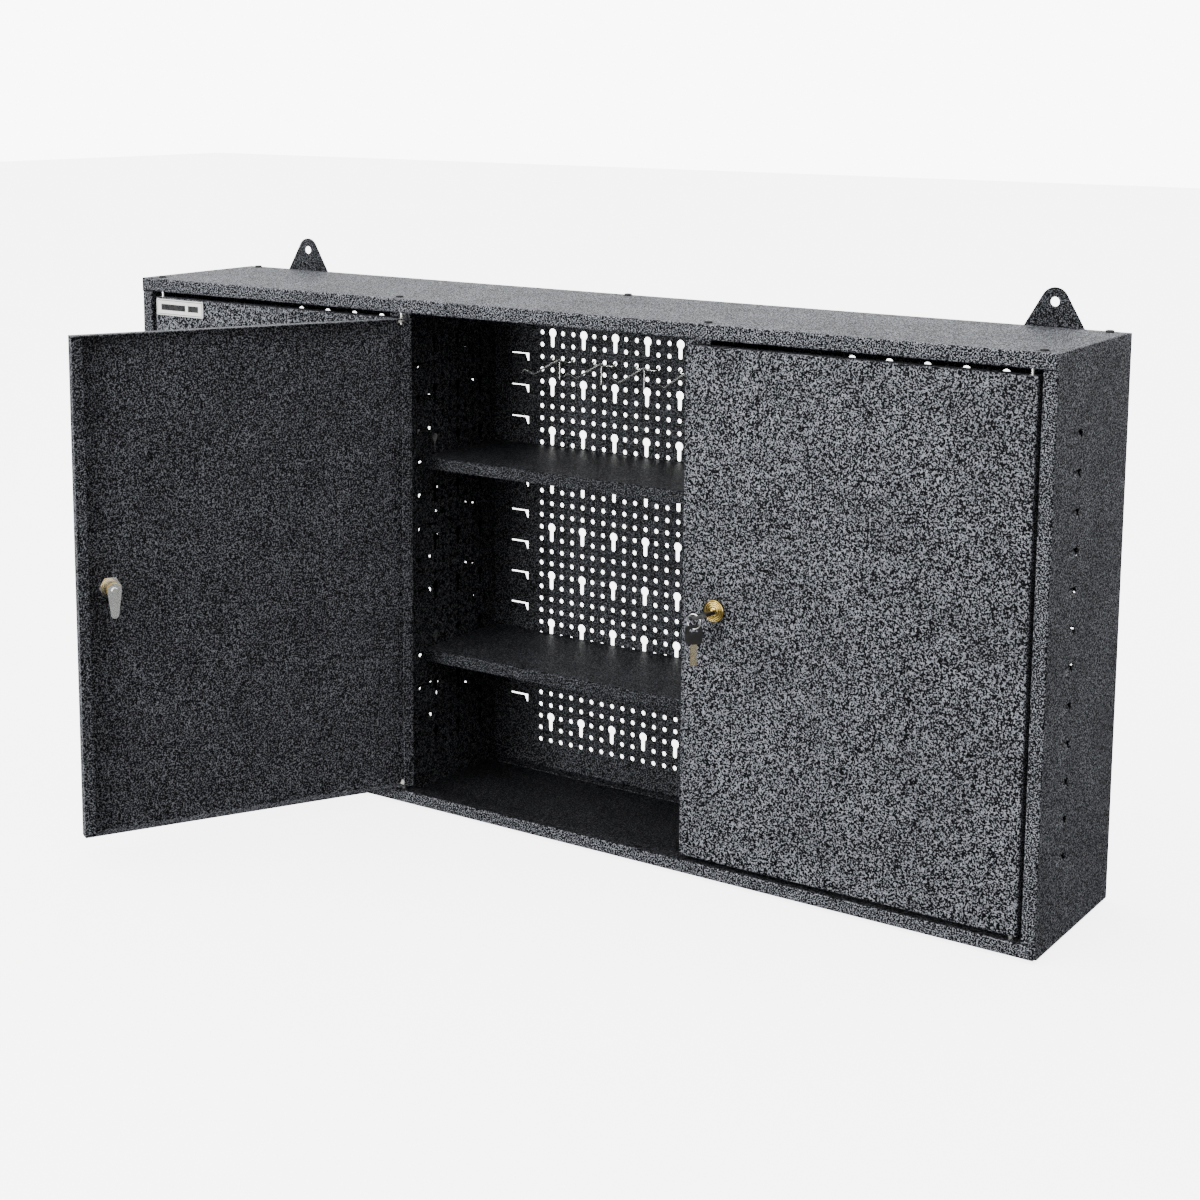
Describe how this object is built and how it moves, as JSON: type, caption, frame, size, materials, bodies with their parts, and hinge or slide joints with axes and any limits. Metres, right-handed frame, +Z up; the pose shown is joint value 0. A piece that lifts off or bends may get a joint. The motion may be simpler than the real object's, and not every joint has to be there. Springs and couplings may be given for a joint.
{
  "type": "hanging wall cabinet",
  "caption": "Wall cabinet of folded black sheet steel with three hinged pan doors, cam locks, perforated back, shelves, peg hooks and hanging lugs.",
  "frame": {"origin": "on the wall plane, midway between the two wall screw holes in the hanging lugs", "axes": "+X to the cabinet's right seen from the front, +Y from the room into the wall, +Z up"},
  "size_m": [1.2, 0.534, 0.6439],
  "materials": {
    "powder_coat": "textured black powder coat with a fine silver vein",
    "zinc_steel": "bright zinc plate",
    "lock_brass": "nickel plated brass, lightly worn",
    "key_brass": "plain brass with nickel wash",
    "chrome": "polished",
    "nylon": "natural nylon",
    "black_plastic": "moulded satin",
    "badge_white": "satin white enamel",
    "black_screws": "black oxide"
  },
  "bodies": {
    "carcass": {"back_panel_left": "powder_coat", "back_panel_middle": "powder_coat", "back_panel_right": "powder_coat", "badge_plate": "badge_white", "bottom_panel": "powder_coat", "bottom_screws": "black_screws", "divider_left": "powder_coat", "divider_post_left": "powder_coat", "divider_post_right": "powder_coat", "divider_right": "powder_coat", "door_left": "powder_coat", "hinge_bushes_left": "nylon", "hinge_pins_left": "zinc_steel", "hinge_pins_middle": "zinc_steel", "hinge_pins_right": "zinc_steel", "lock_body_left": "lock_brass", "lock_nut_left": "zinc_steel", "shelf_lower_left": "powder_coat", "shelf_lower_middle": "powder_coat", "shelf_lower_right": "powder_coat", "shelf_upper_left": "powder_coat", "shelf_upper_middle": "powder_coat", "shelf_upper_right": "powder_coat", "side_panel_left": "powder_coat", "side_panel_right": "powder_coat", "top_panel": "powder_coat", "top_screws": "black_screws", "wire_hook_1": "zinc_steel", "wire_hook_2": "zinc_steel", "wire_hook_3": "zinc_steel", "wire_hook_4": "zinc_steel"},
    "door_middle": {"door_middle": "powder_coat", "hinge_bushes_middle": "nylon", "lock_body_middle": "lock_brass", "lock_nut_middle": "zinc_steel"},
    "door_right": {"door_right": "powder_coat", "hinge_bushes_right": "nylon", "lock_body_right": "lock_brass", "lock_nut_right": "zinc_steel"},
    "left_lock_cylinder": {"lock_cam_left": "zinc_steel", "lock_cam_screw_left": "zinc_steel", "lock_core_left": "lock_brass"},
    "middle_lock_cylinder": {"lock_cam_middle": "zinc_steel", "lock_cam_screw_middle": "zinc_steel", "lock_core_middle": "lock_brass"},
    "right_lock_cylinder": {"key_blade": "key_brass", "key_bow": "black_plastic", "lock_cam_right": "zinc_steel", "lock_cam_screw_right": "zinc_steel", "lock_core_right": "lock_brass"},
    "key_ring": {"key_ring": "chrome"},
    "spare_key": {"spare_key_bow": "black_plastic", "spare_key_blade": "key_brass"}
  },
  "joints": [
    {"name": "middle_door_hinge", "type": "hinge", "parent": "carcass", "child": "door_middle", "pos_m": [-0.20035, -0.192, -0.32825], "axis": [0, 0, 1], "range_deg": [0, 118.5]},
    {"name": "right_door_hinge", "type": "hinge", "parent": "carcass", "child": "door_right", "pos_m": [0.56335, -0.192, -0.32825], "axis": [0, 0, 1], "range_deg": [0, 120]},
    {"name": "left_lock_turn", "type": "hinge", "parent": "carcass", "child": "left_lock_cylinder", "pos_m": [-0.24875, -0.198, -0.32945], "axis": [0, -1, 0], "range_deg": [0, 90]},
    {"name": "middle_lock_turn", "type": "hinge", "parent": "door_middle", "child": "middle_lock_cylinder", "pos_m": [-0.37077, -0.4933, -0.32945], "axis": [-0.8788, 0.4772, 0], "range_deg": [0, 90]},
    {"name": "right_lock_turn", "type": "hinge", "parent": "door_right", "child": "right_lock_cylinder", "pos_m": [0.22375, -0.198, -0.32945], "axis": [0, 1, 0], "range_deg": [0, 90]},
    {"name": "key_ring_swing", "type": "hinge", "parent": "right_lock_cylinder", "child": "key_ring", "pos_m": [0.2159, -0.2269, -0.332], "axis": [0, 1, 0], "range_deg": [-25, 25]},
    {"name": "spare_key_swing", "type": "hinge", "parent": "key_ring", "child": "spare_key", "pos_m": [0.2159, -0.2269, -0.3442], "axis": [1, 0, 0], "range_deg": [-30, 30]}
  ]
}
